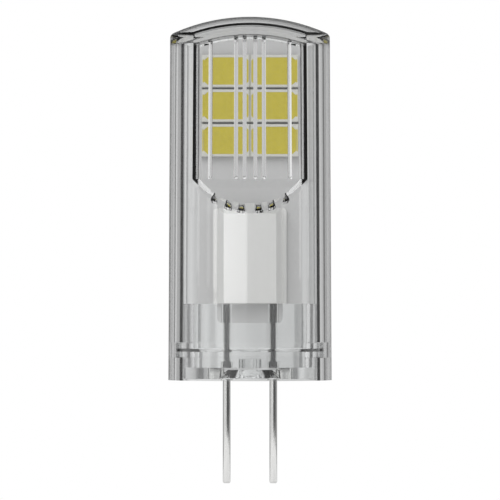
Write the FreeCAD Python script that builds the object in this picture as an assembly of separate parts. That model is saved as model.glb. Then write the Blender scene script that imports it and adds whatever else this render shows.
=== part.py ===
import FreeCAD, Part
import math
import os

# A two-pin LED capsule lamp for a 12 V G4 socket: a clear moulded cover over a board that
# carries six LEDs on each face, a clear plug that closes the cover from below, and two wires
# that are both the contacts and the feet of the board.
# Frame: origin on the lamp's axis in the plane where the base meets its socket, Z up to the
# dome, X along the line through both contact pins, and the front window towards -Y.
# All sizes are in millimetres and all angles in degrees.

# Contact pins
pin_spacing = 4.0
pin_diameter = 0.65
pin_exposed = 8.85
pin_tip_chamfer = 0.15
pin_head_top = 7.7
pin_root_diameter = 1.0
pin_root_top = 1.6

# Cover, outside
cover_diameter = 14.0
cover_height = 31.15
mould_draft = 0.3
dome_radius = 16.1
rim_round = 0.5
window_spacing = 9.72
window_sill = 17.2
sill_slope = 50.0

# Cover, inside
cover_wall = 1.2
flute_pitch = 0.75
flute_width = 0.35
flute_depth = 0.13
flute_root = 0.1

# Base plug
plug_recess = 0.15
plug_top = 6.55
plug_wall = 0.82
plug_floor_top = 1.1
plug_ledge_bottom = 2.45
plug_ledge_top = 2.7
plug_ledge_width = 0.1
snap_ring_bite = 0.56
snap_ring_bottom = 1.95
snap_ring_top = 3.2
gate_dish_mouth_diameter = 4.34
gate_dish_roof_diameter = 2.56
gate_dish_edge = 0.45
gate_dish_top = 0.85
gate_boss_diameter = 2.0
gate_boss_top = 1.8
plug_clearance = 0.05

# Circuit board
board_thickness = 1.0
board_head_width = 8.9
board_tail_width = 5.6
board_tail_bottom = 4.9
board_ceiling_gap = 0.7
board_head_round = 0.5
board_tail_round = 0.45
slot_clearance = 0.1
solder_bottom = 6.6
solder_cap = 0.3

# LED packages
led_width = 4.18
led_height = 2.8
led_depth = 0.7
led_pad_thickness = 0.1
led_cup_width = 3.83
led_cup_height = 2.36
led_cup_offset = 0.09
led_cup_depth = 0.4
led_cup_inset = 0.2
led_cup_corner = 0.28
led_phosphor_recess = 0.03
led_edge_round = 0.08
led_columns = 2
led_column_pitch = 4.22
led_rows = 3
led_row_pitch = 2.97
led_top_drop = 2.78
pad_margin = 0.3
pad_cathode_width = 1.7
pad_anode_width = 0.8

# Driver housing, one on each face of the board
housing_flange_width = 6.2
housing_flange_thickness = 0.4
housing_flange_round = 0.35
housing_width = 4.45
housing_depth = 1.9
housing_top = 14.3
housing_flange_top = 14.75
housing_wall = 0.35
housing_edge_round = 0.2

# Driver parts under the housings
rectifier_width = 3.0
rectifier_height = 2.4
rectifier_depth = 1.2
rectifier_leads_per_side = 2
capacitor_width = 3.2
capacitor_height = 1.6
capacitor_depth = 1.1
inductor_width = 3.0
inductor_depth = 1.3
inductor_corner = 0.5
driver_chip_width = 2.9
driver_chip_height = 1.3
driver_chip_depth = 1.1
driver_chip_leads_per_side = 3
resistor_width = 1.6
resistor_height = 0.8
resistor_depth = 0.45
resistor_spacing = 1.75
lead_reach = 0.3
lead_width = 0.4
lead_thickness = 0.2
end_cap_width = 0.35
end_cap_proud = 0.03
driver_part_gap = 0.15

# Two places this near are the same
same_place = 1e-6

# Worked out from the sizes above
cover_radius = cover_diameter / 2
pin_radius = pin_diameter / 2
draft_slope = math.tan(math.radians(mould_draft))
dome_centre = cover_height - dome_radius
ceiling_radius = dome_radius - cover_wall
window_outer = window_spacing / 2
window_inner = window_outer - cover_wall
sill_slope_tan = math.tan(math.radians(sill_slope))
inner_sill = window_sill - cover_wall * math.tan(math.radians((90 - sill_slope) / 2))
board_face = board_thickness / 2
board_arch_radius = ceiling_radius - board_ceiling_gap
slot_width = pin_diameter + 2 * slot_clearance
slot_top = pin_head_top + solder_cap
led_seat = board_face + led_pad_thickness
led_top_row = dome_centre + board_arch_radius - led_top_drop
cavity_floor_radius = cover_radius - cover_wall
snap_ring_radius = cavity_floor_radius + snap_ring_bite
plug_barrel_radius = cavity_floor_radius - draft_slope * plug_top - plug_clearance
housing_roof = housing_top - housing_wall
capacitor_top = housing_roof - driver_part_gap - end_cap_proud
rectifier_top = capacitor_top - capacitor_height - driver_part_gap - lead_reach
driver_chip_top = housing_roof - driver_part_gap - lead_reach
resistor_top = driver_chip_top - driver_chip_height - driver_part_gap - lead_reach
inductor_top = resistor_top - resistor_height - driver_part_gap - end_cap_proud


def vector(x, y, z):
    return FreeCAD.Vector(x, y, z)


UP = vector(0, 0, 1)
AXIS_FOOT = vector(0, 0, 0)
FRONT = -1
BACK = 1


def face_through(points):
    """A flat face whose outline is straight from point to point."""
    return Part.Face(Part.makePolygon(points + points[:1]))


def turned(outline):
    """A solid of revolution about the lamp's axis from a wire or from (radius, height) pairs."""
    if isinstance(outline, list):
        face = face_through([vector(radius, 0, height) for radius, height in outline])
    else:
        face = Part.Face(outline)
    return face.revolve(AXIS_FOOT, UP, 360)


def block(width, height, near, far, side, x=0.0, bottom=0.0):
    """A box that stands off a face of the board, from depth near to depth far on one side."""
    low = min(side * near, side * far)
    return Part.makeBox(width, far - near, height, vector(x - width / 2, low, bottom))


def edges_where(shape, wanted):
    """The edges of a shape whose two ends both pass a test."""
    return [edge for edge in shape.Edges if all(wanted(v.Point) for v in edge.Vertexes)]


def wall_meets_roof(foot_radius, roof_radius):
    """Radius and height at which a drafted wall would run into a spherical roof."""
    slope = draft_slope
    a = 1 + slope**2
    b = -2 * (foot_radius * slope + dome_centre)
    c = foot_radius**2 + dome_centre**2 - roof_radius**2
    height = (-b + math.sqrt(b * b - 4 * a * c)) / (2 * a)
    return foot_radius - slope * height, height


def domed_tube(foot_radius, roof_radius, corner=0.0):
    """A drafted round solid under a spherical crown, its rim an arc tangent to both or, with
    no corner radius, a plain edge."""
    lean = math.hypot(1, draft_slope)
    radius, height = wall_meets_roof(foot_radius - corner * lean, roof_radius - corner)
    centre = vector(radius, 0, height)
    outwards = vector(1, 0, draft_slope).normalize()
    upwards = vector(radius, 0, height - dome_centre).normalize()
    between = (outwards + upwards).normalize()
    on_wall = centre + outwards * corner
    on_roof = centre + upwards * corner
    above_axis = vector(0, 0, on_roof.z)
    foot = vector(foot_radius, 0, 0)
    edges = [
        Part.LineSegment(above_axis, AXIS_FOOT).toShape(),
        Part.LineSegment(AXIS_FOOT, foot).toShape(),
        Part.LineSegment(foot, on_wall).toShape(),
        Part.LineSegment(on_roof, above_axis).toShape(),
    ]
    if corner:
        edges.insert(3, Part.Arc(on_wall, centre + between * corner, on_roof).toShape())
    sphere = Part.makeSphere(
        roof_radius, vector(0, 0, dome_centre), vector(0, 1, 0), -90, 90, 360
    )
    above = Part.makeBox(
        2 * roof_radius,
        2 * roof_radius,
        roof_radius,
        vector(-roof_radius, -roof_radius, on_roof.z),
    )
    return turned(Part.Wire(edges)).fuse(sphere.common(above))


def beyond_window(distance, sill, side):
    """What lies outside one flat window and the slope under it, as a long prism along X."""
    far = 2 * cover_radius
    roof = 2 * cover_height
    profile = [
        vector(-far, side * distance, sill),
        vector(-far, side * distance, roof),
        vector(-far, side * far, roof),
        vector(-far, side * far, sill - (far - distance) * sill_slope_tan),
    ]
    return face_through(profile).extrude(vector(2 * far, 0, 0))


def windowed(solid, distance, sill):
    """A domed solid with a flat window and its sloping sill cut on the front and the back."""
    for side in (FRONT, BACK):
        solid = solid.cut(beyond_window(distance, sill, side))
    return solid


def flute_section(reach, turn, x, height, side):
    """The three-cornered section of a flute in a level plane: its root inside the cavity and
    its edge cut into the wall. It stands at a distance from the axis, turned to face outwards,
    or at x on the flat where the turn is nought."""
    grow = 1 + flute_root / flute_depth
    corners = [
        (-grow * flute_width / 2, -flute_root),
        (grow * flute_width / 2, -flute_root),
        (0, flute_depth),
    ]
    points = []
    for along, outward in corners:
        across = x + along * math.cos(turn) + (reach + outward) * math.sin(turn)
        depth = (reach + outward) * math.cos(turn) - along * math.sin(turn)
        points.append(vector(across, side * depth, height))
    return Part.makePolygon(points + points[:1])


def flutes(side):
    """The moulded lines inside one window: each runs down the flat, fans out over the sloping
    sill and ends where the sill meets the round wall."""
    sill_radius = cavity_floor_radius - draft_slope * inner_sill
    half_width = math.sqrt(sill_radius**2 - window_inner**2)
    half_angle = math.acos(window_inner / sill_radius)
    roof_radius, _ = wall_meets_roof(cavity_floor_radius, ceiling_radius)
    narrowest = math.sqrt(roof_radius**2 - window_inner**2) - flute_width / 2
    count = 2 * int(narrowest / flute_pitch + 1 / 2)
    cutters = []
    for number in range(count):
        x = (number - (count - 1) / 2) * flute_pitch
        turn = x * half_angle / half_width
        roof = dome_centre + math.sqrt(ceiling_radius**2 - x**2 - window_inner**2)
        meeting = inner_sill - (sill_radius * math.cos(turn) - window_inner) * sill_slope_tan
        sections = [
            flute_section(sill_radius, turn, 0, meeting, side),
            flute_section(window_inner, 0, x, inner_sill, side),
            flute_section(window_inner, 0, x, roof, side),
        ]
        cutters.append(Part.makeLoft(sections, True, True))
    return cutters


def envelope_cover():
    """The clear moulded cover: drafted tube, spherical crown, two windows and an inner wall
    that follows them at an even thickness, with the snap groove for the plug."""
    outside = windowed(
        domed_tube(cover_radius, dome_radius, rim_round), window_outer, window_sill
    )
    cavity = windowed(
        domed_tube(cavity_floor_radius, ceiling_radius),
        window_inner,
        inner_sill,
    )
    groove = Part.makeCylinder(
        snap_ring_radius + plug_clearance,
        snap_ring_top + plug_clearance - snap_ring_bottom,
        vector(0, 0, snap_ring_bottom),
    )
    hollow = cavity.fuse(groove)
    hollow = hollow.fuse(flutes(FRONT) + flutes(BACK))
    return outside.cut(hollow)


def contact_pin(x):
    """A straight round wire with a chamfered tip and, from the base's plane up, a thicker root
    that the plug is moulded round."""
    root_radius = pin_root_diameter / 2
    outline = [
        (0, -pin_exposed),
        (pin_radius - pin_tip_chamfer, -pin_exposed),
        (pin_radius, pin_tip_chamfer - pin_exposed),
        (pin_radius, 0),
        (root_radius, 0),
        (root_radius, pin_root_top),
        (pin_radius, pin_root_top),
        (pin_radius, pin_head_top),
        (0, pin_head_top),
    ]
    pin = turned(outline)
    pin.translate(vector(x, 0, 0))
    return pin


def base_plug(pins):
    """The clear plug: a cup with a snap ring outside and a ledge inside, its floor dished from
    below under a small boss, moulded round both pins."""
    barrel = plug_barrel_radius
    ring = snap_ring_radius
    cup = barrel - plug_wall
    throat = cup - plug_ledge_width
    outline = [
        (0, gate_dish_top),
        (gate_dish_roof_diameter / 2, gate_dish_top),
        (gate_dish_mouth_diameter / 2, gate_dish_edge),
        (gate_dish_mouth_diameter / 2, plug_recess),
        (barrel, plug_recess),
        (barrel, snap_ring_bottom),
        (ring, snap_ring_bottom),
        (ring, snap_ring_top),
        (barrel, snap_ring_top),
        (barrel, plug_top),
        (cup, plug_top),
        (cup, plug_ledge_top),
        (throat, plug_ledge_bottom),
        (throat, plug_floor_top),
        (gate_boss_diameter / 2, plug_floor_top),
        (gate_boss_diameter / 2, gate_boss_top),
        (0, gate_boss_top),
    ]
    plug = turned(outline)
    for pin in pins:
        plug = plug.cut(pin)
    return plug


def board_slot(x):
    """The open-ended slot in the board's tail that one pin is soldered into."""
    straight = slot_top - slot_width / 2
    lower = board_tail_bottom - slot_width
    slot = Part.makeBox(
        slot_width,
        board_thickness,
        straight - lower,
        vector(x - slot_width / 2, -board_face, lower),
    )
    round_end = Part.makeCylinder(
        slot_width / 2, board_thickness, vector(x, -board_face, straight), vector(0, 1, 0)
    )
    return slot.fuse(round_end)


def circuit_board():
    """The board: a wide head under an arch that follows the crown, a narrow tail that reaches
    into the plug and a slot in it for each pin."""
    head = board_head_width / 2
    blank = Part.makeBox(
        board_head_width,
        board_thickness,
        cover_height - plug_top,
        vector(-head, -board_face, plug_top),
    )
    arch = Part.makeCylinder(
        board_arch_radius,
        board_thickness,
        vector(0, -board_face, dome_centre),
        vector(0, 1, 0),
    )
    blank = blank.common(arch)
    corners = edges_where(blank, lambda p: p.z > dome_centre and abs(p.x) > head - same_place)
    across = [edge for edge in corners if abs(edge.Vertexes[0].X - edge.Vertexes[-1].X) < same_place]
    across = [edge for edge in across if abs(edge.Vertexes[0].Z - edge.Vertexes[-1].Z) < same_place]
    blank = blank.makeFillet(board_head_round, across)
    tail = Part.makeBox(
        board_tail_width,
        board_thickness,
        plug_top + board_tail_width - board_tail_bottom,
        vector(-board_tail_width / 2, -board_face, board_tail_bottom),
    )
    feet = edges_where(tail, lambda p: p.z < board_tail_bottom + same_place)
    feet = [edge for edge in feet if abs(edge.Vertexes[0].X - edge.Vertexes[-1].X) < same_place]
    tail = tail.makeFillet(board_tail_round, feet)
    board = blank.fuse(tail).removeSplitter()
    for side in (-1, 1):
        board = board.cut(board_slot(side * pin_spacing / 2))
    return board


def solder_joint(x, pin):
    """The solder that fills the closed end of a slot round the head of its pin."""
    fill = board_slot(x)
    lower = Part.makeBox(
        2 * slot_width,
        2 * board_thickness,
        solder_bottom - board_tail_bottom + 2 * slot_width,
        vector(x - slot_width, -board_thickness, board_tail_bottom - 2 * slot_width),
    )
    return fill.cut(lower).cut(pin)


def cup_outline(shrink, depth, side, x, z):
    """The eight-sided mouth of an LED's cup, smaller by shrink all round, at a given depth. The
    cup stands a little nearer to the lamp's axis than its package."""
    x -= math.copysign(led_cup_offset, x)
    half_width = led_cup_width / 2 - shrink
    half_height = led_cup_height / 2 - shrink
    corner = led_cup_corner
    y = side * depth
    corners = [
        (half_width, half_height - corner),
        (half_width - corner, half_height),
        (corner - half_width, half_height),
        (-half_width, half_height - corner),
        (-half_width, corner - half_height),
        (corner - half_width, -half_height),
        (half_width - corner, -half_height),
        (half_width, corner - half_height),
    ]
    points = [vector(x + dx, y, z + dz) for dx, dz in corners]
    return Part.makePolygon(points + points[:1])


def led_cup(fill_recess, side, x, z):
    """The tapered cup of an LED, filled to a given distance below its rim."""
    rim = led_seat + led_depth
    floor = rim - led_cup_depth
    slope = led_cup_inset / led_cup_depth
    mouth = cup_outline(slope * fill_recess, rim - fill_recess, side, x, z)
    bottom = cup_outline(led_cup_inset, floor, side, x, z)
    return Part.makeLoft([bottom, mouth], True, True)


def led_housing(side, x, z):
    """The white moulded package of one LED, its edges eased and its cup left open."""
    far = led_seat + led_depth
    body = block(led_width, led_height, led_seat, far, side, x, z - led_height / 2)
    front_edges = edges_where(body, lambda p: abs(abs(p.y) - far) < same_place)
    body = body.makeChamfer(led_edge_round, front_edges)
    return body.cut(led_cup(0, side, x, z))


def led_pads(side, x, z):
    """The two soldered terminals under one LED, the wide one on the cathode side."""
    height = led_height - 2 * pad_margin
    bottom = z - height / 2
    left = x - led_width / 2 + pad_margin + pad_cathode_width / 2
    right = x + led_width / 2 - pad_margin - pad_anode_width / 2
    pads = [
        block(pad_cathode_width, height, board_face, led_seat, side, left, bottom),
        block(pad_anode_width, height, board_face, led_seat, side, right, bottom),
    ]
    return Part.makeCompound(pads)


def driver_housing(side):
    """The white moulded cap over the driver parts on one face of the board: a thin flange
    with round upper corners and a raised hollow block."""
    bottom = plug_top
    flange_far = board_face + housing_flange_thickness
    flange = block(
        housing_flange_width, housing_flange_top - bottom, board_face, flange_far, side, 0, bottom
    )
    top_edges = edges_where(flange, lambda p: p.z > housing_flange_top - same_place)
    top_edges = [e for e in top_edges if abs(e.Vertexes[0].X - e.Vertexes[-1].X) < same_place]
    flange = flange.makeFillet(housing_flange_round, top_edges)
    far = board_face + housing_depth
    raised = block(housing_width, housing_top - bottom, board_face, far, side, 0, bottom)
    outer_edges = edges_where(raised, lambda p: abs(abs(p.y) - far) < same_place)
    raised = raised.makeFillet(housing_edge_round, outer_edges)
    hollow = block(
        housing_width - 2 * housing_wall,
        housing_top - bottom - 2 * housing_wall,
        board_face,
        far - housing_wall,
        side,
        0,
        bottom + housing_wall,
    )
    return flange.fuse(raised).cut(hollow).removeSplitter()


def leaded_body(width, height, depth, side, top, leads_per_edge):
    """A chip with flat leads along its upper and lower edges, standing on the board."""
    bottom = top - height
    body = block(width, height, board_face, board_face + depth, side, 0, bottom)
    pitch = width / leads_per_edge
    foot = board_face + lead_thickness
    for number in range(leads_per_edge):
        x = (number - (leads_per_edge - 1) / 2) * pitch
        reach = height + 2 * lead_reach
        lead = block(lead_width, reach, board_face, foot, side, x, bottom - lead_reach)
        body = body.fuse(lead)
    return body.removeSplitter()


def capped_body(width, height, depth, side, x, top):
    """A ceramic chip component lying along X with a metal cap round each end."""
    bottom = top - height
    far = board_face + depth
    body = block(width - 2 * end_cap_proud, height, board_face, far, side, x, bottom)
    for end in (-1, 1):
        centre = x + end * (width - end_cap_width) / 2
        cap = block(
            end_cap_width,
            height + 2 * end_cap_proud,
            board_face,
            far + end_cap_proud,
            side,
            centre,
            bottom - end_cap_proud,
        )
        body = body.fuse(cap)
    return body.removeSplitter()


def power_inductor():
    """A square moulded coil with its four upright corners cut off."""
    bottom = inductor_top - inductor_width
    far = board_face + inductor_depth
    body = block(inductor_width, inductor_width, board_face, far, BACK, 0, bottom)
    upright = [e for e in body.Edges if abs(e.Vertexes[0].Y - e.Vertexes[-1].Y) > same_place]
    return body.makeChamfer(inductor_corner, upright)


def led_places():
    """Number, column place and row height of every LED on one face, from the top left."""
    places = []
    for row in range(led_rows):
        for column in range(led_columns):
            number = row * led_columns + column + 1
            x = (column - (led_columns - 1) / 2) * led_column_pitch
            places.append((number, x, led_top_row - row * led_row_pitch))
    return places


def all_pieces():
    """Every piece of the lamp by the name it goes under."""
    pins = [contact_pin(side * pin_spacing / 2) for side in (-1, 1)]
    pieces = {
        "envelope_cover": envelope_cover(),
        "base_plug": base_plug(pins),
        "circuit_board": circuit_board(),
    }
    for name, side, pin in zip(("left", "right"), (-1, 1), pins):
        pieces["contact_pin_" + name] = pin
        pieces["solder_joint_" + name] = solder_joint(side * pin_spacing / 2, pin)
    for name, side in (("front", FRONT), ("back", BACK)):
        pieces["driver_housing_" + name] = driver_housing(side)
        for number, x, z in led_places():
            label = f"{name}_{number}"
            pieces["led_housing_" + label] = led_housing(side, x, z)
            pieces["led_phosphor_" + label] = led_cup(led_phosphor_recess, side, x, z)
            pieces["led_pads_" + label] = led_pads(side, x, z)
    pieces["bridge_rectifier"] = leaded_body(
        rectifier_width,
        rectifier_height,
        rectifier_depth,
        FRONT,
        rectifier_top,
        rectifier_leads_per_side,
    )
    pieces["smoothing_capacitor"] = capped_body(
        capacitor_width, capacitor_height, capacitor_depth, FRONT, 0, capacitor_top
    )
    pieces["driver_chip"] = leaded_body(
        driver_chip_width,
        driver_chip_height,
        driver_chip_depth,
        BACK,
        driver_chip_top,
        driver_chip_leads_per_side,
    )
    pieces["power_inductor"] = power_inductor()
    for number, side in ((1, -1), (2, 1)):
        pieces[f"current_resistor_{number}"] = capped_body(
            resistor_width,
            resistor_height,
            resistor_depth,
            BACK,
            side * resistor_spacing / 2,
            resistor_top,
        )
    return pieces


os.makedirs("parts", exist_ok=True)
for piece_name, shape in all_pieces().items():
    shape.exportStep(f"parts/{piece_name}.step")
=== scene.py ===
import math

import bmesh
import bpy
import numpy as np
from bpy.props import FloatProperty, FloatVectorProperty, IntProperty, PointerProperty
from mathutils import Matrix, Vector


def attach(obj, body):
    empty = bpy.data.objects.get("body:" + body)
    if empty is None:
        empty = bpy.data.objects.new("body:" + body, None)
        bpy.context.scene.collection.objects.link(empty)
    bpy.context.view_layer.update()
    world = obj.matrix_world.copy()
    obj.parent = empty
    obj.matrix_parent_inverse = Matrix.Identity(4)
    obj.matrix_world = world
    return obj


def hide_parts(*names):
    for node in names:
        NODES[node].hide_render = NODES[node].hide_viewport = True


bl_info = {
    "name": "Two-Pin LED Capsule Lamp",
    "version": (1, 0, 0),
    "blender": (4, 5, 0),
    "location": "View3D > Sidebar > Capsule Lamp",
    "description": "Dresses the packed lamp: clear cover, clear plug, pins, board and emitters",
    "category": "Add Mesh",
}

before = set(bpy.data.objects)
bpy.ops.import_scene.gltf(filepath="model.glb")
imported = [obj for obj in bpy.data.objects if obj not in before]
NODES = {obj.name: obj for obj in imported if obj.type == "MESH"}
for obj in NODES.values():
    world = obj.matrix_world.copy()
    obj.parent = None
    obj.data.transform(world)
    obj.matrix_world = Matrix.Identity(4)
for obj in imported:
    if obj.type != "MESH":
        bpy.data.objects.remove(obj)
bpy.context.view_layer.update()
FRONT = -1.0
BACK = 1.0

# Points closer than this are one
SAME_POINT = 3e-7
# Rows round the rim and the brow of the cover and round the end of a pin
ROUND_ROWS = 9
# Rows and columns of the cover's grids. Up to LEVEL_HEIGHT the rows of its wall are level
LEVEL_HEIGHT = 0.008
LEVEL_ROWS = 9
WALL_STEPS = np.linspace(0, 1, 17)[1:]
SILL_STEPS = np.concatenate([[1 / 16], np.linspace(0, 1, 9)[1:]])
WINDOW_ROWS = 25
SIDE_COLUMNS = 41
# How soon the rounded brow gives way to the rim at a window's upper corners
CORNER_POWER = 60
# Which pairs of flutes, counted from a window's middle, are deep, and how fast they fade out
# down the sill
DEEP_FLUTES = (0, 1, 4)
SILL_FADE = 6.0
FLUTE_COLUMNS = 13
# The pits along the foot of the inner sill: their places right of the middle, their width, how
# far they reach into the wall, and how far below the foot of the sill they start and end
PIT_PLACES = (0.0006, 0.00153, 0.00257)
PIT_WIDTH = 0.00068
PIT_DEPTH = 0.0005
PIT_HEIGHT = 0.00035
PIT_DROP = 0.00015
PIT_COLUMNS = 7

PLUG_COLUMNS = 160
PLUG_CREASE = 12.0
PIN_COLUMNS = 64
# Rows round the edge of a cap's block, and points round each upper corner of a cap
EDGE_ROWS = 6
CORNER_POINTS = 12
# Small eases of the caps: at the flange's edge, under the flange and the block, and at the
# block's corners
FLANGE_EASE = 0.00005
FLANGE_LIFT = 0.00002
BLOCK_LIFT = 0.00003
BLOCK_CORNER = 0.0001

# Clear plastic: how it bends light, its roughness, and how much it takes up per metre in the
# cover and in the plug
PLASTIC_IOR = 1.49
PLASTIC_ROUGHNESS = 0.02
COVER_DENSITY = 40.0
PLUG_DENSITY = 15.0
# How far a wire's surface turns away from the eye, from 0 to 1, where the painted shade on a
# wire starts to give way to its own colour and where it has it back
FACING = 0.22
EDGE_ON = 0.32
# The colour sockets and the result of a Mix node
MIX_A, MIX_B, MIX_RESULT = 6, 7, 2

# Brightness by azimuth in degrees, where 0 is behind the lamp and 180 behind the camera, then by
# height in degrees above level: for what is seen through the plastic, mirrored in it, and for the
# sharp bright lights that are mirrored as well
THROUGH_PANELS = [
    (-180, 0.64), (-160, 0.64), (-150, 1), (-95, 1), (-62, 0.8), (-56, 0.5), (-50, 0.03),
    (-44, 0.03), (-43, 0.45), (-33, 0.5), (-30, 0.85), (-27, 0.8), (-25.5, 0.25), (-22.5, 0.25),
    (-21, 0.68), (-14, 0.68), (-12, 0.5), (-10, 0.5), (-8, 0.8), (3, 0.62), (15, 0.62),
    (17, 0.35), (24, 0.45), (25.5, 0.1), (29, 0.1), (32, 0.5), (43, 0.7), (45, 0.02), (52, 0.02),
    (55, 0.7), (70, 1), (180, 0.64),
]
THROUGH_RISE = [
    (-90, 0.9), (-35, 1), (-12, 1), (4, 1), (6, 0.6), (10, 0.5), (13, 1.2), (20, 1.4), (24, 1.3),
    (26, 0.2), (32, 0.15), (36, 0.6), (60, 0.6), (90, 0.5),
]
MIRRORED_PANELS = [
    (-180, 0.35), (-177, 0.35), (-174, 0.75), (-100, 0.75), (-95, 0.8), (-72, 1), (-69, 0.15),
    (-20, 0.15), (20, 0.3), (66, 0.45), (67, 0.1), (72, 0.1), (73, 0.5), (95, 0.5), (100, 0.12),
    (175, 0.1), (180, 0.35),
]
MIRRORED_RISE = [(-90, 0.8), (-10, 1), (5, 1), (9, 0.3), (32, 0.3), (42, 0.8), (90, 0.9)]
SHINING_PANELS = [
    (-178, 0), (-176, 0.8), (-143, 1), (-141.5, 0), (-133, 0), (-131, 1), (-126, 0.5),
    (-124.5, 0), (-122, 0), (-121, 0.25), (-117, 0.35), (-115, 0), (-103, 0), (-102, 0.4),
    (-100, 0.4), (-98, 0), (86, 0), (88, 0.5), (90, 0), (101, 0), (102, 0.5), (105, 0.4),
    (106, 0), (128, 0), (129, 0.2), (134, 0.4), (135.5, 0),
]
SHINING_RISE = [(-2, 0), (0.25, 0), (0.31, 1), (4, 1), (6, 0)]
SHINE = 4.5
SOFT_LIGHT = (0.66, 0.66, 0.66, 1)
WHITE = (1, 1, 1, 1)
# Name, place, watts and width of each lamp, and the height that they aim at
LAMPS = [("key", (-0.35, -0.5, 0.4), 2.2, 0.5), ("fill", (0.5, -0.4, 0.15), 0.5, 0.4)]
LAMP_AIM = 0.012
SENSOR = 36.0
# The floor's mesh, and the distances between which its own shading gives way to plain white
FLOOR_COLUMNS = 96
FLOOR_CENTRE = 0.05
FLOOR_SHADED = 0.06
FLOOR_WHITE = 0.3


# Sizes and colours that a user would change


class CoverSizes(bpy.types.PropertyGroup):
    """The clear cover: a drafted tube, a spherical crown, two flat windows and their sills."""

    radius: FloatProperty(
        name="Radius", description="Outer radius at the foot", default=0.007, unit="LENGTH"
    )
    wall: FloatProperty(
        name="Wall", description="Thickness all round", default=0.0012, unit="LENGTH"
    )
    height: FloatProperty(
        name="Height", description="From the foot to the top", default=0.031145, unit="LENGTH"
    )
    draft: FloatProperty(
        name="Draft",
        description="How far the tube leans in",
        default=math.radians(0.3),
        subtype="ANGLE",
    )
    crown: FloatProperty(
        name="Crown radius", description="Radius of the domed top", default=0.0161, unit="LENGTH"
    )
    rim: FloatProperty(
        name="Rim round", description="Round between tube and crown", default=0.0005, unit="LENGTH"
    )
    ceiling_rim: FloatProperty(
        name="Ceiling round", description="Round inside the rim", default=0.00012, unit="LENGTH"
    )
    brow: FloatProperty(
        name="Brow round",
        description="Round along the top of a window",
        default=0.0007,
        unit="LENGTH",
    )
    ceiling_brow: FloatProperty(
        name="Inner brow round",
        description="Round along the top of a window inside",
        default=0.00045,
        unit="LENGTH",
    )
    window: FloatProperty(
        name="Window distance",
        description="From the axis to a window",
        default=0.00486,
        unit="LENGTH",
    )
    sill: FloatProperty(
        name="Sill height", description="Lower edge of the windows", default=0.0172, unit="LENGTH"
    )
    slope: FloatProperty(
        name="Sill slope",
        description="Fall of the sill below level",
        default=math.radians(50),
        subtype="ANGLE",
    )
    sill_drop: FloatProperty(
        name="Inner sill drop",
        description="How far the inner sill lies below the outer one",
        default=0.00015,
        unit="LENGTH",
    )
    groove: FloatProperty(
        name="Groove radius", description="Snap groove in the wall", default=0.00641, unit="LENGTH"
    )
    groove_low: FloatProperty(
        name="Groove bottom", description="Lower edge of the groove", default=0.00195, unit="LENGTH"
    )
    groove_high: FloatProperty(
        name="Groove top", description="Upper edge of the groove", default=0.00325, unit="LENGTH"
    )
    flute_pairs: IntProperty(
        name="Flute pairs",
        description="Moulded lines on each side of a window's middle",
        default=6,
        min=1,
    )
    flute_first: FloatProperty(
        name="First flute",
        description="From the middle to the first flute",
        default=0.00046,
        unit="LENGTH",
    )
    flute_pitch: FloatProperty(
        name="Flute pitch",
        description="Between neighbouring flutes",
        default=0.000737,
        unit="LENGTH",
    )
    flute_width: FloatProperty(
        name="Flute width", description="Width of a flute", default=0.00035, unit="LENGTH"
    )
    flute_faint: FloatProperty(
        name="Faint flute", description="Depth of a shallow flute", default=0.00002, unit="LENGTH"
    )


class PlugSizes(bpy.types.PropertyGroup):
    """The clear plug in the foot of the cover."""

    bottom: FloatProperty(
        name="Recess", description="Height of the underside", default=0.00015, unit="LENGTH"
    )
    top: FloatProperty(name="Top", description="Height of the rim", default=0.00655, unit="LENGTH")
    barrel: FloatProperty(
        name="Barrel radius", description="Outer radius", default=0.005716, unit="LENGTH"
    )
    cup: FloatProperty(
        name="Cup radius", description="Radius of the cup", default=0.004896, unit="LENGTH"
    )
    ledge_top: FloatProperty(
        name="Ledge top",
        description="Height where the cup starts to narrow",
        default=0.0027,
        unit="LENGTH",
    )
    ledge: FloatProperty(
        name="Ledge",
        description="Height where the narrow part starts",
        default=0.00245,
        unit="LENGTH",
    )
    throat: FloatProperty(
        name="Throat",
        description="Radius of the cup below the ledge",
        default=0.004796,
        unit="LENGTH",
    )
    floor: FloatProperty(
        name="Cup floor", description="Height of the cup's floor", default=0.0011, unit="LENGTH"
    )
    boss: FloatProperty(
        name="Boss", description="Radius of the boss on the floor", default=0.001, unit="LENGTH"
    )
    boss_top: FloatProperty(
        name="Boss top", description="Height of the boss", default=0.0018, unit="LENGTH"
    )
    ring: FloatProperty(
        name="Ring radius", description="Radius of the snap ring", default=0.00636, unit="LENGTH"
    )
    ring_low: FloatProperty(
        name="Ring bottom", description="Lower edge of the ring", default=0.00195, unit="LENGTH"
    )
    ring_high: FloatProperty(
        name="Ring top", description="Upper edge of the ring", default=0.0032, unit="LENGTH"
    )
    dish: FloatProperty(
        name="Dish roof", description="Height of the dish's roof", default=0.0009, unit="LENGTH"
    )
    dish_edge: FloatProperty(
        name="Dish edge",
        description="Height where the dish starts to narrow",
        default=0.0002,
        unit="LENGTH",
    )
    dish_mouth: FloatProperty(
        name="Dish mouth", description="Radius of the dish's mouth", default=0.00176, unit="LENGTH"
    )
    dish_back: FloatProperty(
        name="Dish back", description="Radius of the dish's roof", default=0.00136, unit="LENGTH"
    )


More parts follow.
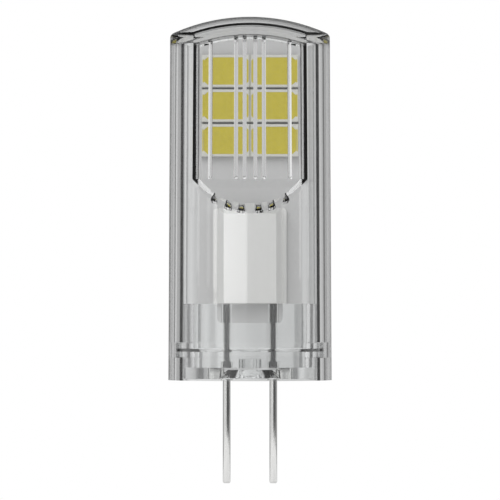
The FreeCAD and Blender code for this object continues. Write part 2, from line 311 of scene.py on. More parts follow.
class PinSizes(bpy.types.PropertyGroup):
    """The two contact pins."""

    spacing: FloatProperty(
        name="Spacing", description="Between the pins' axes", default=0.004, unit="LENGTH"
    )
    radius: FloatProperty(
        name="Radius", description="Radius of a pin", default=0.000325, unit="LENGTH"
    )
    tip: FloatProperty(
        name="Tip", description="How far a pin stands out", default=0.00885, unit="LENGTH"
    )
    tip_round: FloatProperty(
        name="Tip round", description="Round at the end of a pin", default=0.00015, unit="LENGTH"
    )
    root: FloatProperty(
        name="Root radius", description="Thicker root in the plug", default=0.0005, unit="LENGTH"
    )
    root_top: FloatProperty(
        name="Root top", description="Height where the root ends", default=0.0016, unit="LENGTH"
    )
    head: FloatProperty(
        name="Head", description="Height of the soldered end", default=0.0077, unit="LENGTH"
    )
    # Where the painted shade on the pins starts, and where it is full
    shade_low: FloatProperty(
        name="Painted shade starts",
        description="Height where the wire starts to be painted darker",
        default=0.0006,
        unit="LENGTH",
    )
    shade_high: FloatProperty(
        name="Dull", description="Height from which the wire is fully painted darker", default=0.0012, unit="LENGTH"
    )


class CapSizes(bpy.types.PropertyGroup):
    """The two white caps over the driver, one on each face of the board."""

    board_face: FloatProperty(
        name="Board face",
        description="From the axis to the board's face",
        default=0.0005,
        unit="LENGTH",
    )
    bottom: FloatProperty(
        name="Bottom", description="Height of the lower edge", default=0.00655, unit="LENGTH"
    )
    flange: FloatProperty(
        name="Flange width", description="Width of the flange", default=0.0062, unit="LENGTH"
    )
    flange_top: FloatProperty(
        name="Flange top", description="Height of the flange", default=0.01475, unit="LENGTH"
    )
    flange_depth: FloatProperty(
        name="Flange thickness",
        description="Thickness of the flange",
        default=0.0004,
        unit="LENGTH",
    )
    flange_round: FloatProperty(
        name="Flange round",
        description="Round of its upper corners",
        default=0.00035,
        unit="LENGTH",
    )
    block: FloatProperty(
        name="Block width", description="Width of the raised face", default=0.00445, unit="LENGTH"
    )
    block_root: FloatProperty(
        name="Block root",
        description="Width where the block meets the flange",
        default=0.0054,
        unit="LENGTH",
    )
    block_top: FloatProperty(
        name="Block top", description="Height of the raised block", default=0.0143, unit="LENGTH"
    )
    depth: FloatProperty(
        name="Depth",
        description="How far the block stands off the board",
        default=0.0019,
        unit="LENGTH",
    )
    wall: FloatProperty(
        name="Wall", description="Thickness of the block's wall", default=0.00035, unit="LENGTH"
    )
    edge: FloatProperty(
        name="Edge round", description="Round of the block's edges", default=0.0001, unit="LENGTH"
    )


class Finishes(bpy.types.PropertyGroup):
    """Colours, as linear light."""

    plastic: FloatVectorProperty(
        name="Clear plastic",
        description="Tint of the clear plastic",
        default=(0.985, 0.99, 0.99),
        subtype="COLOR",
    )
    board: FloatVectorProperty(
        name="Board", description="White solder mask", default=(0.49, 0.49, 0.49), subtype="COLOR"
    )
    package: FloatVectorProperty(
        name="Package",
        description="White moulded emitter packages",
        default=(0.55, 0.55, 0.51),
        subtype="COLOR",
    )
    cap: FloatVectorProperty(
        name="Cap",
        description="White moulded caps over the driver",
        default=(0.62, 0.62, 0.61),
        subtype="COLOR",
    )
    gel: FloatVectorProperty(
        name="Gel",
        description="Yellow gel of the emitters",
        default=(0.48, 0.405, 0.03),
        subtype="COLOR",
    )
    metal: FloatVectorProperty(
        name="Tinned metal",
        description="Pins and solder",
        default=(0.78, 0.78, 0.77),
        subtype="COLOR",
    )
    # Painted shade: the dark colour that the pins take inside the lamp
    painted_pin_shade: FloatVectorProperty(
        name="Painted pin shade",
        description="Pins inside the plug, painted darker as shade",
        default=(0.1, 0.1, 0.1),
        subtype="COLOR",
    )
    chip: FloatVectorProperty(
        name="Chips",
        description="Black moulding compound",
        default=(0.03, 0.03, 0.032),
        subtype="COLOR",
    )
    ceramic: FloatVectorProperty(
        name="Capacitor", description="Tan ceramic", default=(0.35, 0.22, 0.11), subtype="COLOR"
    )
    ferrite: FloatVectorProperty(
        name="Inductor", description="Grey ferrite", default=(0.045, 0.045, 0.05), subtype="COLOR"
    )


class StageSettings(bpy.types.PropertyGroup):
    """Camera, floor and light."""

    distance: FloatProperty(
        name="Camera distance", description="From the lamp's axis", default=0.8, unit="LENGTH"
    )
    aim: FloatProperty(
        name="Aim height",
        description="Height at the picture's middle",
        default=0.01115,
        unit="LENGTH",
    )
    width: FloatProperty(
        name="View width",
        description="Width of the view at the axis",
        default=0.04288,
        unit="LENGTH",
    )
    floor: FloatProperty(
        name="Floor height", description="Height of the floor", default=-0.029, unit="LENGTH"
    )
    floor_radius: FloatProperty(
        name="Floor radius", description="Radius of the floor", default=0.34, unit="LENGTH"
    )


# Meshes from numpy


def grid_faces(rows, columns, first):
    """Corner numbers of the quads of a grid of rows by columns points, counted from first."""
    corner = first + np.arange(rows * columns).reshape(rows, columns)
    quads = np.stack([corner[:-1, :-1], corner[:-1, 1:], corner[1:, 1:], corner[1:, :-1]], axis=-1)
    return quads.reshape(-1, 4)


def piece_from_grids(name, grids, crease=30.0):
    """A piece from grids of points, shape (rows, columns, 3). Equal points are merged, faces are
    turned outwards and edges sharper than crease degrees stay sharp."""
    points, faces, first = [], [], 0
    for grid in grids:
        rows, columns = grid.shape[:2]
        points.append(grid.reshape(-1, 3))
        faces.append(grid_faces(rows, columns, first))
        first += rows * columns
    mesh = bpy.data.meshes.new(name)
    mesh.from_pydata(np.concatenate(points), [], np.concatenate(faces).tolist())
    merged = bmesh.new()
    merged.from_mesh(mesh)
    bmesh.ops.remove_doubles(merged, verts=merged.verts, dist=SAME_POINT)
    bmesh.ops.recalc_face_normals(merged, faces=merged.faces)
    merged.to_mesh(mesh)
    merged.free()
    mesh.polygons.foreach_set("use_smooth", np.ones(len(mesh.polygons), dtype=bool))
    mesh.set_sharp_from_angle(angle=math.radians(crease))
    piece = bpy.data.objects.new(name, mesh)
    bpy.context.collection.objects.link(piece)
    return piece


def turned_grid(profile, columns, x=0.0):
    """A profile of (radius, height) rows turned about the upright line at x: each point goes
    to (x + r sin a, -r cos a, height) for angles a from 0 to a full turn."""
    profile = np.asarray(profile, dtype=float)
    angle = np.linspace(0, 2 * math.pi, columns + 1)
    angle[-1] = 0.0
    radius = profile[:, 0, None]
    height = np.broadcast_to(profile[:, 1, None], (len(profile), columns + 1))
    return np.stack([x + radius * np.sin(angle), -radius * np.cos(angle), height], axis=-1)


class Skin:
    """One skin of the cover, outer or inner. Each point is worked out from a column and a row.

    Columns over a window: s from -1 to 1. On the window x = s times the window's half width, and
    on the round wall the angle from the window's middle is s times the window's half angle.
    Columns up a side: y is a fixed share of the window's distance d, and x = sqrt(R^2 - y^2).
    The wall's radius is R(z) = foot radius - z tan(draft). The sill falls as
    z = sill - (|y| - d) tan(slope), and the crown is a sphere about (0, 0, height - crown). The
    brow, where a window meets the crown, is an arc of radius b: y = d - b (1 - cos t) and a drop
    of b (sin e - sin t) below the crown, for t from 0 to e, the angle that the edge turns."""

    def __init__(self, foot, draft, window, sill, slope, centre, crown, rim, brow):
        self.foot = foot
        self.lean = math.tan(draft)
        self.window = window
        self.sill = sill
        self.fall = math.tan(slope)
        self.centre = centre
        self.crown = crown
        radius, height = self.meeting(foot - rim * math.hypot(1, self.lean), crown - rim)
        turn = np.linspace(math.atan(self.lean), math.atan2(height - centre, radius), ROUND_ROWS)
        self.rim_radius = radius + rim * np.cos(turn)
        self.rim_height = height + rim * np.sin(turn)
        edge = math.acos(window / crown)
        arc = np.linspace(0, edge, ROUND_ROWS)
        self.brow_y = window - brow * (1 - np.cos(arc))
        self.brow_drop = brow * (math.sin(edge) - np.sin(arc))
        self.window_z = np.linspace(sill, self.rim_height[0], WINDOW_ROWS)[1:]

    def meeting(self, foot, crown):
        """Where a leaning wall meets a sphere: the upper root of their quadratic."""
        a = 1 + self.lean**2
        b = -2 * (foot * self.lean + self.centre)
        c = foot**2 + self.centre**2 - crown**2
        height = (-b + math.sqrt(b * b - 4 * a * c)) / (2 * a)
        return foot - self.lean * height, height

    def radius(self, z):
        """The wall's radius at a height: the foot's radius less the height times tan(draft)."""
        return self.foot - self.lean * z

    def half_width(self, radius):
        """Half a window's width where the wall has this radius: sqrt(R^2 - d^2)."""
        return np.sqrt(radius**2 - self.window**2)

    def dome(self, x, y):
        """Height of the crown over a point: its centre's height + sqrt(crown^2 - x^2 - y^2)."""
        return self.centre + np.sqrt(self.crown**2 - x**2 - y**2)

    def smile(self, s):
        """Height at which the sill runs out on the round wall, found by repeating
        z = sill - (R(z) cos(s times half angle) - d) tan(slope)."""
        z = np.full_like(s, self.sill)
        for _ in range(8):
            radius = self.radius(z)
            angle = s * np.arccos(self.window / radius)
            z = self.sill - (radius * np.cos(angle) - self.window) * self.fall
        return z

    def wall_row(self, s, z, radius, depth=0.0):
        """Points (r sin a, r cos a, z) on the round wall, a = s arccos(d / R), r = R + depth."""
        angle = s * np.arccos(self.window / radius)
        reach = radius + depth
        return np.stack([reach * np.sin(angle), reach * np.cos(angle), z], axis=-1)

    def foot_levels(self, foot_rows):
        """The level rows at the foot as (height, radius), where None is the wall's own radius."""
        return [(z, self.radius(z) if wide is None else wide) for z, wide in foot_rows]

    def window_grid(self, s, foot_rows, flute, pit):
        """The wall below a window, the pits, the sill, the window and its brow, in that order.
        Flutes move points away from the axis, on the sill by depth times step to a power."""
        smile = self.smile(s)
        lip = smile - PIT_HEIGHT
        rows = [
            self.wall_row(s, np.full_like(s, z), radius)
            for z, radius in self.foot_levels(foot_rows)
        ]
        for step in WALL_STEPS:
            z = LEVEL_HEIGHT + (lip - LEVEL_HEIGHT) * step
            rows.append(self.wall_row(s, z, self.radius(z)))
        rows.append(self.wall_row(s, lip, self.radius(lip), pit))
        rows.append(self.wall_row(s, smile - PIT_DROP, self.radius(smile), pit))
        foot = self.wall_row(s, smile, self.radius(smile))
        half = self.half_width(self.radius(self.sill))
        level = np.full_like(s, self.sill)
        head = np.stack([s * half, np.full_like(s, self.window), level], axis=-1)
        away = np.array([0.0, 1.0, 0.0])
        for step in SILL_STEPS:
            rows.append(foot + (head - foot) * step + away * (flute * step**SILL_FADE)[:, None])
        for z in self.window_z:
            half = self.half_width(self.radius(z))
            rows.append(np.stack([s * half, self.window + flute, np.full_like(s, z)], axis=-1))
        rim_half = np.sqrt(self.rim_radius**2 - self.brow_y**2)
        top = self.dome(s * rim_half[-1], self.brow_y[-1] + flute)
        corner_drops = self.rim_height[-1] - self.rim_height
        near_corner = np.abs(s) ** CORNER_POWER
        for half, y, plain, corner in zip(rim_half, self.brow_y, self.brow_drop, corner_drops):
            drop = plain + (corner - plain) * near_corner
            rows.append(np.stack([s * half, y + flute, top - drop], axis=-1))
        return np.array(rows)

    def side_grid(self, share, foot_rows):
        """The round side between the windows, in rows that meet those of the window's grid."""
        lip = self.sill - PIT_HEIGHT
        heights = [
            *(LEVEL_HEIGHT + (lip - LEVEL_HEIGHT) * WALL_STEPS),
            lip,
            self.sill - PIT_DROP,
            self.sill,
            *self.window_z,
        ]
        levels = [(z, r, self.window) for z, r in self.foot_levels(foot_rows)]
        levels += [(z, self.radius(z), self.window) for z in heights]
        levels += list(zip(self.rim_height, self.rim_radius, self.brow_y))
        rows = []
        for z, radius, reach in levels:
            y = share * reach
            rows.append(np.stack([np.sqrt(radius**2 - y**2), y, np.full_like(y, z)], axis=-1))
        return np.array(rows)

    def crown_grid(self, s, share, flute):
        """The sphere over the rim: x = s sqrt(R^2 - y^2) and y a share of the brow's distance."""
        reach = np.sqrt(self.rim_radius[-1] ** 2 - (share * self.brow_y[-1]) ** 2)
        x = reach[:, None] * s[None, :]
        y = share[:, None] * (self.brow_y[-1] + flute)[None, :]
        return np.stack([x, y, self.dome(x, y)], axis=-1)

    def grids(self, s, share, foot_rows, flute, pit):
        """Both windows, both sides and the crown. foot_rows are (height, radius or None), flute
        and pit the depths of the flutes and the pits at each s."""
        window = self.window_grid(s, foot_rows, flute, pit)
        side = self.side_grid(share, foot_rows)
        back = np.array([1.0, -1.0, 1.0])
        left = np.array([-1.0, 1.0, 1.0])
        return [window, window * back, side, side * left, self.crown_grid(s, share, flute)]


def both_ways(values):
    """Values on the right of the middle, and mirrored on its left, from left to right."""
    return np.concatenate([-values[::-1], values])


def flute_columns(sizes, half_width):
    """Columns s close enough to draw every flute and pit, and the depths of both there. With u
    from -1/2 to 1/2 over its width, a deep flute is a right-angled groove, width / 2 (1 - |2 u|),
    and a faint one and a pit are rounded, depth (1 + cos(2 pi u)) / 2."""
    order = np.arange(sizes.flute_pairs)
    centres = both_ways(sizes.flute_first + order * sizes.flute_pitch)
    deep = np.isin(order, DEEP_FLUTES)
    deep = np.concatenate([deep[::-1], deep])
    pits = both_ways(np.array(PIT_PLACES))
    across_flute = np.linspace(-0.5, 0.5, FLUTE_COLUMNS) * sizes.flute_width
    across_pit = np.linspace(-PIT_WIDTH / 2, PIT_WIDTH / 2, PIT_COLUMNS)
    x = np.concatenate(
        [
            [-half_width, half_width],
            (centres[:, None] + across_flute[None, :]).ravel(),
            (centres[:-1] + centres[1:]) / 2,
            (pits[:, None] + across_pit[None, :]).ravel(),
        ]
    )
    x = np.unique(np.round(x[np.abs(x) <= half_width], 9))
    away = np.abs(x[:, None] - centres[None, :]) / sizes.flute_width
    nearest = away.argmin(axis=1)
    away = np.minimum(away.min(axis=1), 0.5)
    groove = sizes.flute_width / 2 * (1 - 2 * away)
    channel = sizes.flute_faint * (1 + np.cos(2 * math.pi * away)) / 2
    off = np.abs(x[:, None] - pits[None, :]).min(axis=1)
    pit = PIT_DEPTH * (1 + np.cos(2 * math.pi * np.minimum(off / PIT_WIDTH, 0.5))) / 2
    return x / half_width, np.where(deep[nearest], groove, channel), pit


# Materials


def new_material(name):
    """A material with its nodes, its links and its shader."""
    material = bpy.data.materials.new(name)
    material.use_nodes = True
    nodes, links = material.node_tree.nodes, material.node_tree.links
    return material, nodes, links, nodes["Principled BSDF"]


def ripple(nodes, links, shader, scale, strength, distance, detail):
    """A fine uneven surface: noise on Object coordinates into a bump."""
    place = nodes.new("ShaderNodeTexCoord")
    noise = nodes.new("ShaderNodeTexNoise")
    bump = nodes.new("ShaderNodeBump")
    noise.inputs["Scale"].default_value = scale
    noise.inputs["Detail"].default_value = detail
    bump.inputs["Strength"].default_value = strength
    bump.inputs["Distance"].default_value = distance
    links.new(place.outputs["Object"], noise.inputs["Vector"])
    links.new(noise.outputs["Fac"], bump.inputs["Height"])
    links.new(bump.outputs["Normal"], shader.inputs["Normal"])
    return noise


def mottled(nodes, links, shader, noise, colour, amount):
    """A colour that drifts by amount either way with a noise."""
    ramp = nodes.new("ShaderNodeValToRGB")
    dark = [c * (1 - amount) for c in colour]
    light = [min(1.0, c * (1 + amount)) for c in colour]
    for stop, position, shade in zip(ramp.color_ramp.elements, (0.3, 0.7), (dark, light)):
        stop.position = position
        stop.color = (*shade, 1)
    links.new(noise.outputs["Fac"], ramp.inputs["Fac"])
    links.new(ramp.outputs["Color"], shader.inputs["Base Color"])


def clear_plastic(name, colour, density):
    """Moulded clear plastic: refracts, and takes up a little light over its thickness."""
    material, nodes, links, shader = new_material(name)
    shader.inputs["Base Color"].default_value = (*colour, 1)
    shader.inputs["Roughness"].default_value = PLASTIC_ROUGHNESS
    shader.inputs["IOR"].default_value = PLASTIC_IOR
    shader.inputs["Transmission Weight"].default_value = 1.0
    ripple(nodes, links, shader, scale=260.0, strength=0.02, distance=0.0002, detail=2.0)
    absorb = nodes.new("ShaderNodeVolumeAbsorption")
    absorb.inputs["Color"].default_value = (0.0, 0.0, 0.0, 1)
    absorb.inputs["Density"].default_value = density
    links.new(absorb.outputs["Volume"], nodes["Material Output"].inputs["Volume"])
    return material


def solid_plastic(name, colour, roughness, scale, amount, strength=0.1):
    """Opaque moulded plastic, ceramic or solder mask with a fine uneven surface."""
    material, nodes, links, shader = new_material(name)
    shader.inputs["Roughness"].default_value = roughness
    noise = ripple(nodes, links, shader, scale, strength, distance=0.00005, detail=4.0)
    mottled(nodes, links, shader, noise, colour, amount)
    return material


def metal(name, colour, roughness, scale):
    """Tinned metal with drawing marks along its length."""
    material, nodes, links, shader = new_material(name)
    shader.inputs["Metallic"].default_value = 1.0
    shader.inputs["Roughness"].default_value = roughness
    noise = ripple(nodes, links, shader, scale, strength=0.15, distance=0.00002, detail=3.0)
    stretch = nodes.new("ShaderNodeMapping")
    stretch.inputs["Scale"].default_value = (1.0, 1.0, 0.08)
    place = nodes["Texture Coordinate"]
    links.new(place.outputs["Object"], stretch.inputs["Vector"])
    links.new(stretch.outputs["Vector"], noise.inputs["Vector"])
    mottled(nodes, links, shader, noise, colour, amount=0.05)
    return material


def map_range(nodes, links, value, low, high, first=0.0, last=1.0):
    """A value that runs from first to last while another goes from low to high."""
    span = nodes.new("ShaderNodeMapRange")
    span.inputs["From Min"].default_value = low
    span.inputs["From Max"].default_value = high
    span.inputs["To Min"].default_value = first
    span.inputs["To Max"].default_value = last
    links.new(value, span.inputs["Value"])
    return span


def mixed(nodes, links, factor, first, second):
    """A blend of two colours, each a value or a socket."""
    mix = nodes.new("ShaderNodeMix")
    mix.data_type = "RGBA"
    links.new(factor, mix.inputs["Factor"])
    for socket, value in ((mix.inputs[MIX_A], first), (mix.inputs[MIX_B], second)):
        if isinstance(value, tuple):
            socket.default_value = value
        else:
            links.new(value, socket)
    return mix.outputs[MIX_RESULT]


def paint_shade_with_height(material, colour, low, high):
    """Paints shade: fades the base colour into a darker one from a low to a high place on the lamp,
    save for the edges that turn away from the eye, which keep their own."""
    nodes, links = material.node_tree.nodes, material.node_tree.links
    base = nodes["Principled BSDF"].inputs["Base Color"]
    own = base.links[0].from_socket
    split = nodes.new("ShaderNodeSeparateXYZ")
    links.new(nodes["Texture Coordinate"].outputs["Object"], split.inputs["Vector"])
    above = map_range(nodes, links, split.outputs["Z"], low, high)
    rim = nodes.new("ShaderNodeLayerWeight")
    rim.inputs["Blend"].default_value = 0.5
    facing = map_range(nodes, links, rim.outputs["Facing"], FACING, EDGE_ON, 1.0, 0.0)
    # Painted shade, kept off the edges that turn away from the eye
    painted_dark = mixed(nodes, links, facing.outputs["Result"], own, (*colour, 1))
    links.new(mixed(nodes, links, above.outputs["Result"], own, painted_dark), base)


def dress(node, material):
    """Gives a carried-over CAD node its finish."""
    slots = NODES[node].data.materials
    if len(slots) == 0:
        slots.append(material)
    for number in range(len(slots)):
        slots[number] = material


def stand_for(piece, node):
    """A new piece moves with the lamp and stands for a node."""
    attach(piece, "root")
    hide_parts(node)


# One operator for each piece or group of like pieces


class MakeCover(bpy.types.Operator):
    """Adds the clear cover"""

    bl_idname = "lamp.make_cover"
    bl_label = "Clear cover"

    def execute(self, context):
        size = context.scene.lamp_cover
        centre = size.height - size.crown
        inner_sill = size.sill - size.sill_drop
        outer = Skin(
            size.radius,
            size.draft,
            size.window,
            size.sill,
            size.slope,
            centre,
            size.crown,
            size.rim,
            size.brow,
        )
        inner = Skin(
            size.radius - size.wall,
            size.draft,
            size.window - size.wall,
            inner_sill,
            size.slope,
            centre,
            size.crown - size.wall,
            size.ceiling_rim,
            size.ceiling_brow,
        )
        half = float(inner.half_width(inner.radius(inner_sill)))
        s, flute, pit = flute_columns(size, half)
        share = np.sin(np.linspace(-1, 1, SIDE_COLUMNS) * math.pi / 2)
        outer_rows = [(z, None) for z in np.linspace(0, LEVEL_HEIGHT, LEVEL_ROWS)]
        inner_rows = [
            (0.0, None),
            (size.groove_low, None),
            (size.groove_low, size.groove),
            (size.groove_high, size.groove),
            (size.groove_high, None),
            (LEVEL_HEIGHT, None),
        ]
        plain = np.zeros_like(flute)
        outside = outer.grids(s, share, outer_rows, plain, plain)
        inside = inner.grids(s, share, inner_rows, flute, pit)
        feet = [np.stack([a[0], b[0]]) for a, b in zip(outside[:4], inside[:4])]
        cover = piece_from_grids("clear_cover", outside + inside + feet)
        tint = context.scene.lamp_finish.plastic
        cover.data.materials.append(clear_plastic("clear cover plastic", tint, COVER_DENSITY))
        cover.visible_shadow = False
        cover.visible_diffuse = False
        stand_for(cover, "envelope_cover")
        return {"FINISHED"}


class MakePlug(bpy.types.Operator):
    """Adds the clear plug"""

    bl_idname = "lamp.make_plug"
    bl_label = "Clear plug"

    def execute(self, context):
        size = context.scene.lamp_plug
        profile = [
            (0.0, size.dish),
            (size.dish_back, size.dish),
            (size.dish_mouth, size.dish_edge),
            (size.dish_mouth, size.bottom),
            (size.barrel, size.bottom),
            (size.barrel, size.ring_low),
            (size.ring, size.ring_low),
            (size.ring, size.ring_high),
            (size.barrel, size.ring_high),
            (size.barrel, size.top),
            (size.cup, size.top),
            (size.cup, size.ledge_top),
            (size.throat, size.ledge),
            (size.throat, size.floor),
            (size.boss, size.floor),
            (size.boss, size.boss_top),
            (0.0, size.boss_top),
        ]
        plug = piece_from_grids("clear_plug", [turned_grid(profile, PLUG_COLUMNS)], PLUG_CREASE)
        tint = context.scene.lamp_finish.plastic
        plug.data.materials.append(clear_plastic("clear plug plastic", tint, PLUG_DENSITY))
        plug.visible_shadow = False
        plug.visible_diffuse = False
        stand_for(plug, "base_plug")
        return {"FINISHED"}


class MakePins(bpy.types.Operator):
    """Adds the two contact pins"""

    bl_idname = "lamp.make_pins"
    bl_label = "Contact pins"

    def execute(self, context):
        size = context.scene.lamp_pins
        finish = context.scene.lamp_finish
        tinned = metal("tinned wire", finish.metal, roughness=0.07, scale=9000.0)
        # Painted shade: from low in the plug upwards the pins fade to a dark colour, save for the
        # edges that turn away from the eye
        paint_shade_with_height(tinned, finish.painted_pin_shade, size.shade_low, size.shade_high)
        turn = np.linspace(-math.pi / 2, 0, ROUND_ROWS)
        tip = np.stack(
            [
                size.radius - size.tip_round + size.tip_round * np.cos(turn),
                size.tip_round - size.tip + size.tip_round * np.sin(turn),
            ],
            axis=-1,
        )
        profile = [
            (0.0, -size.tip),
            *tip,
            (size.radius, 0.0),
            (size.root, 0.0),
            (size.root, size.root_top),
            (size.radius, size.root_top),
            (size.radius, size.head),
            (0.0, size.head),
        ]
        for side, name in ((-1, "left"), (1, "right")):
            grid = turned_grid(profile, PIN_COLUMNS, side * size.spacing / 2)
            pin = piece_from_grids("pin_" + name, [grid])
            pin.data.materials.append(tinned)
            stand_for(pin, "contact_pin_" + name)
        return {"FINISHED"}


def cap_outline(half, bottom, top, corner):
    """Points (x, z) round a rectangle whose two upper corners are quarter circles, from the lower
    middle through the right side: corner plus radius times (cos, sin) along each quarter."""
    turn = np.linspace(0, math.pi / 2, CORNER_POINTS)
    across, up = corner * np.cos(turn), corner * np.sin(turn)
    right_arc = np.stack([half - corner + across, top - corner + up], axis=-1)
    left_arc = np.stack([-half + corner - up, top - corner + across], axis=-1)
    start, end = [[0.0, bottom], [half, bottom]], [[-half, bottom], [0.0, bottom]]
    return np.concatenate([start, right_arc, left_arc, end])


class MakeCaps(bpy.types.Operator):
    """Adds the two white caps over the driver"""

    bl_idname = "lamp.make_caps"
    bl_label = "Driver caps"

    def execute(self, context):
        size = context.scene.lamp_caps
        colour = context.scene.lamp_finish.cap
        white = solid_plastic("white moulded cap", colour, roughness=0.3, scale=3000.0, amount=0.02)
        for side, name in ((FRONT, "front"), (BACK, "back")):
            cap = piece_from_grids("driver_cap_" + name, [self.shell(size, side)])
            cap.data.materials.append(white)
            stand_for(cap, "driver_housing_" + name)
        return {"FINISHED"}

    def shell(self, size, side):
        """Level outlines one after another from the middle of the hollow's roof, down inside,
        out under the flange, up its rim, over its face and up the leaning block to its top. Each
        is an outline of half width w from bottom to top, at its own distance from the board."""
        foot, seat = size.bottom, size.board_face
        inner, roof = size.block / 2 - size.wall, seat + size.depth - size.wall
        flange, crest = size.flange / 2, size.flange_top
        face, far = seat + size.flange_depth, seat + size.depth
        block, root = size.block / 2, size.block_root / 2
        low, high, rise = foot + size.wall, size.block_top - size.wall, size.block_top
        corner, middle = size.flange_round, (foot + rise) / 2
        levels = [
            (0.0, middle, middle, 0.0, roof),
            (inner, low, high, 0.0, roof),
            (inner, low, high, 0.0, seat),
            (flange, foot, crest, corner, seat),
            (flange, foot, crest, corner, face - FLANGE_EASE),
            (flange - FLANGE_EASE, foot + FLANGE_LIFT, crest - FLANGE_EASE, corner, face),
            (root, foot + BLOCK_LIFT, rise + root - block, BLOCK_CORNER, face),
        ]
        for turn in np.linspace(0, math.pi / 2, EDGE_ROWS):
            inset = size.edge * (1 - math.cos(turn))
            depth = far - size.edge * (1 - math.sin(turn))
            bottom = foot + BLOCK_LIFT + inset
            levels.append((block - inset, bottom, rise - inset, BLOCK_CORNER, depth))
        levels.append((0.0, middle, middle, 0.0, far))
        rows = []
        for half, bottom, top, corner, depth in levels:
            outline = cap_outline(half, bottom, top, corner)
            depths = np.full(len(outline), side * depth)
            rows.append(np.stack([outline[:, 0], depths, outline[:, 1]], axis=-1))
        return np.array(rows)


class DressBoard(bpy.types.Operator):
    """Finishes the board, its emitters, its solder and the parts of the driver"""

    bl_idname = "lamp.dress_board"
    bl_label = "Board and emitters"

    def execute(self, context):
        finish = context.scene.lamp_finish
        # Roughness, how fine the surface is, how far the colour drifts, and the bump's strength
        mask = solid_plastic("white solder mask", finish.board, 0.35, 4000.0, 0.03)
        package = solid_plastic("white emitter package", finish.package, 0.45, 6000.0, 0.02)
        gel = solid_plastic("yellow gel", finish.gel, 0.35, 5000.0, 0.06, 0.3)
        chip = solid_plastic("black moulding compound", finish.chip, 0.5, 7000.0, 0.2)
        ceramic = solid_plastic("tan ceramic", finish.ceramic, 0.4, 5000.0, 0.08)
        ferrite = solid_plastic("grey ferrite", finish.ferrite, 0.55, 5000.0, 0.15)
        solder = metal("solder", finish.metal, roughness=0.3, scale=4000.0)
        groups = [
            (("circuit_board",), mask),
            (("led_housing_",), package),
            (("led_phosphor_",), gel),
            (("led_pads_", "solder_joint_"), solder),
            (("bridge_rectifier", "driver_chip", "current_resistor_"), chip),
            (("smoothing_capacitor",), ceramic),
            (("power_inductor",), ferrite),
        ]
        for starts, material in groups:
            for node in NODES:
                if node.startswith(starts):
                    dress(node, material)
        return {"FINISHED"}


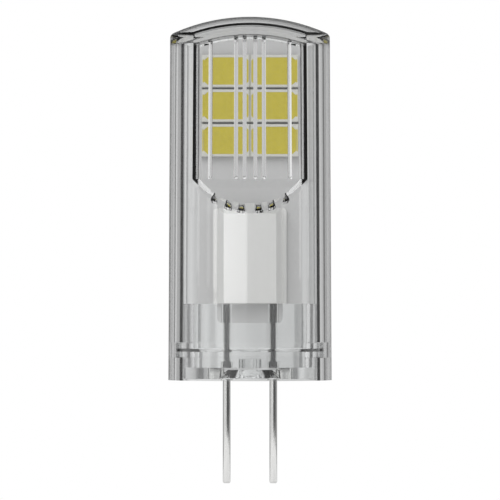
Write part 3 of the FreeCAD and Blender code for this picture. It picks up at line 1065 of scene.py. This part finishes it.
class MakeStage(bpy.types.Operator):
    """Adds the floor, the light and the camera"""

    bl_idname = "lamp.make_stage"
    bl_label = "Stage"

    def execute(self, context):
        size = context.scene.lamp_stage
        self.floor(size)
        self.sky(context.scene)
        self.lamps()
        self.camera(context.scene, size)
        context.scene.view_settings.view_transform = "Standard"
        return {"FINISHED"}

    def floor(self, size):
        """A pale disc that keeps the soft shadow and fades into plain white."""
        radii = (0.0, FLOOR_CENTRE, size.floor_radius)
        disc = turned_grid([(radius, size.floor) for radius in radii], FLOOR_COLUMNS)
        floor = piece_from_grids("floor", [disc])
        if floor.data.polygons[0].normal.z < 0:
            floor.data.flip_normals()
        material, nodes, links, shader = new_material("pale floor")
        shader.inputs["Base Color"].default_value = (0.9, 0.9, 0.9, 1)
        shader.inputs["Roughness"].default_value = 0.7
        place = nodes.new("ShaderNodeTexCoord")
        distance = nodes.new("ShaderNodeVectorMath")
        distance.operation = "LENGTH"
        links.new(place.outputs["Object"], distance.inputs[0])
        fade = map_range(nodes, links, distance.outputs["Value"], FLOOR_SHADED, FLOOR_WHITE)
        fade.interpolation_type = "SMOOTHSTEP"
        white = nodes.new("ShaderNodeEmission")
        blend = nodes.new("ShaderNodeMixShader")
        links.new(fade.outputs["Result"], blend.inputs["Fac"])
        links.new(shader.outputs["BSDF"], blend.inputs[1])
        links.new(white.outputs["Emission"], blend.inputs[2])
        links.new(blend.outputs["Shader"], nodes["Material Output"].inputs["Surface"])
        floor.data.materials.append(material)

    def sky(self, scene):
        """White for what the camera sees, soft for matt surfaces, and for what is seen through
        or in the clear plastic a ring of pale panels with dark gaps between them, by azimuth."""
        world = bpy.data.worlds.new("studio")
        scene.world = world
        world.use_nodes = True
        nodes, links = world.node_tree.nodes, world.node_tree.links
        nodes.clear()
        place = nodes.new("ShaderNodeTexCoord")
        split = nodes.new("ShaderNodeSeparateXYZ")
        links.new(place.outputs["Generated"], split.inputs["Vector"])
        azimuth = self.calculate(nodes, links, "ARCTAN2", split.outputs["X"], split.outputs["Y"])
        rise = self.calculate(nodes, links, "ARCSINE", split.outputs["Z"])
        through, mirrored, shining = (
            self.calculate(
                nodes,
                links,
                "MULTIPLY",
                self.ramp(nodes, links, azimuth, panels),
                self.ramp(nodes, links, rise, heights),
            )
            for panels, heights in (
                (THROUGH_PANELS, THROUGH_RISE),
                (MIRRORED_PANELS, MIRRORED_RISE),
                (SHINING_PANELS, SHINING_RISE),
            )
        )
        mirrored = self.calculate(nodes, links, "MULTIPLY_ADD", shining, SHINE, mirrored)
        path = nodes.new("ShaderNodeLightPath")
        colour = mixed(nodes, links, path.outputs["Is Glossy Ray"], SOFT_LIGHT, mirrored)
        colour = mixed(nodes, links, path.outputs["Is Transmission Ray"], colour, through)
        colour = mixed(nodes, links, path.outputs["Is Camera Ray"], colour, WHITE)
        light = nodes.new("ShaderNodeBackground")
        out = nodes.new("ShaderNodeOutputWorld")
        links.new(colour, light.inputs["Color"])
        links.new(light.outputs["Background"], out.inputs["Surface"])

    def calculate(self, nodes, links, operation, *values):
        """The result of an operation on values, each a number or a socket."""
        node = nodes.new("ShaderNodeMath")
        node.operation = operation
        for socket, value in zip(node.inputs, values):
            if isinstance(value, float):
                socket.default_value = value
            else:
                links.new(value, socket)
        return node.outputs["Value"]

    def ramp(self, nodes, links, angle, panels):
        """Levels of light by an angle, from the first panel's degrees to the last one's."""
        first, last = panels[0][0], panels[-1][0]
        span = map_range(nodes, links, angle, math.radians(first), math.radians(last))
        ramp = nodes.new("ShaderNodeValToRGB")
        stops = ramp.color_ramp.elements
        while len(stops) > 1:
            stops.remove(stops[-1])
        for number, (degrees, level) in enumerate(panels):
            position = (degrees - first) / (last - first)
            stop = stops[0] if number == 0 else stops.new(position)
            stop.position = position
            stop.color = (level, level, level, 1)
        links.new(span.outputs["Result"], ramp.inputs["Fac"])
        return ramp.outputs["Color"]

    def lamps(self):
        """Two broad soft lamps that show in no reflection and through no plastic."""
        for name, place, watts, width in LAMPS:
            lamp = bpy.data.lights.new(name, "AREA")
            lamp.energy = watts
            lamp.size = width
            holder = bpy.data.objects.new(name, lamp)
            holder.location = place
            aim = Vector((0, 0, LAMP_AIM)) - holder.location
            holder.rotation_euler = aim.to_track_quat("-Z", "Y").to_euler()
            holder.visible_glossy = False
            holder.visible_transmission = False
            bpy.context.collection.objects.link(holder)

    def camera(self, scene, size):
        """A camera square on to the front, with the lens that gives the view's width."""
        eye = bpy.data.cameras.new("camera")
        eye.sensor_width = SENSOR
        eye.lens = SENSOR * size.distance / size.width
        eye.clip_start = 0.01
        holder = bpy.data.objects.new("camera", eye)
        holder.location = (0.0, -size.distance, size.aim)
        holder.rotation_euler = (math.pi / 2, 0, 0)
        bpy.context.collection.objects.link(holder)
        scene.camera = holder


class LampPanel(bpy.types.Panel):
    """Lists the steps that build the lamp"""

    bl_idname = "VIEW3D_PT_capsule_lamp"
    bl_label = "Capsule lamp"
    bl_space_type = "VIEW_3D"
    bl_region_type = "UI"
    bl_category = "Capsule Lamp"

    def draw(self, context):
        for step in (MakeStage, MakeCover, MakePlug, MakePins, MakeCaps, DressBoard):
            self.layout.operator(step.bl_idname)


CLASSES = [
    CoverSizes,
    PlugSizes,
    PinSizes,
    CapSizes,
    Finishes,
    StageSettings,
    MakeCover,
    MakePlug,
    MakePins,
    MakeCaps,
    DressBoard,
    MakeStage,
    LampPanel,
]
SETTINGS = [
    ("lamp_cover", CoverSizes),
    ("lamp_plug", PlugSizes),
    ("lamp_pins", PinSizes),
    ("lamp_caps", CapSizes),
    ("lamp_finish", Finishes),
    ("lamp_stage", StageSettings),
]


def register():
    for cls in CLASSES:
        bpy.utils.register_class(cls)
    for name, group in SETTINGS:
        setattr(bpy.types.Scene, name, PointerProperty(type=group))


def unregister():
    for name, _ in SETTINGS:
        delattr(bpy.types.Scene, name)
    for cls in reversed(CLASSES):
        bpy.utils.unregister_class(cls)


def main():
    register()
    bpy.ops.lamp.make_stage()
    bpy.ops.lamp.make_cover()
    bpy.ops.lamp.make_plug()
    bpy.ops.lamp.make_pins()
    bpy.ops.lamp.make_caps()
    bpy.ops.lamp.dress_board()


if __name__ == "__main__":
    main()
